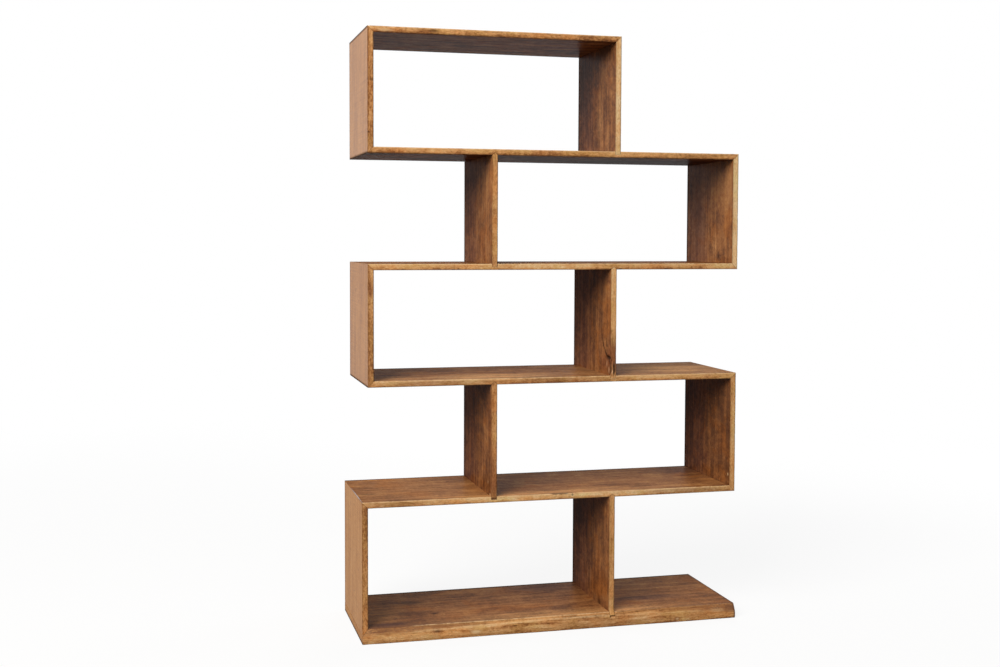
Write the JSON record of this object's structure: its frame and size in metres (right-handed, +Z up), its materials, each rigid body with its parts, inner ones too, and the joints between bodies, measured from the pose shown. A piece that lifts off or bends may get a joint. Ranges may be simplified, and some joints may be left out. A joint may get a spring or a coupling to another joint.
{
  "type": "zigzag_bookshelf",
  "caption": "Open-backed zigzag bookshelf in solid wood: mitred boards climb from a thick waney-edged base plank, turning up at alternate sides, with dividers housed above and below.",
  "frame": {"origin": "On the floor, in the middle of the overall width and depth.", "axes": "+X runs along the shelves to the right as seen from the front, +Y from the front to the back, +Z up."},
  "size_m": [1.178, 0.3821, 1.8],
  "materials": {
    "solid_board": "edge-glued brown hardwood with a thin satin oil finish",
    "waney_plank": "thick brown hardwood plank with a natural front edge, satin oil finish",
    "joint_tongue": "bare plywood strip, glued in and out of sight"
  },
  "bodies": {
    "root": {"base_plank": "waney_plank", "shelf_2": "solid_board", "shelf_3": "solid_board", "shelf_4": "solid_board", "shelf_5": "solid_board", "top_board": "solid_board", "left_panel_1": "solid_board", "right_panel_2": "solid_board", "left_panel_3": "solid_board", "right_panel_4": "solid_board", "left_panel_5": "solid_board", "right_panel_5": "solid_board", "divider_1": "solid_board", "divider_2": "solid_board", "divider_3": "solid_board", "divider_4": "solid_board", "corner_tongue_base_left": "joint_tongue", "corner_tongue_2_left": "joint_tongue", "corner_tongue_2_right": "joint_tongue", "corner_tongue_3_right": "joint_tongue", "corner_tongue_3_left": "joint_tongue", "corner_tongue_4_left": "joint_tongue", "corner_tongue_4_right": "joint_tongue", "corner_tongue_5_right": "joint_tongue", "corner_tongue_5_left": "joint_tongue", "corner_tongue_top_left": "joint_tongue", "corner_tongue_top_right": "joint_tongue", "housing_tongue_base": "joint_tongue", "housing_tongue_2_under": "joint_tongue", "housing_tongue_2_over": "joint_tongue", "housing_tongue_3_under": "joint_tongue", "housing_tongue_3_over": "joint_tongue", "housing_tongue_4_under": "joint_tongue", "housing_tongue_4_over": "joint_tongue", "housing_tongue_5_under": "joint_tongue", "housing_tongue_5_over": "joint_tongue"}
  },
  "joints": []
}
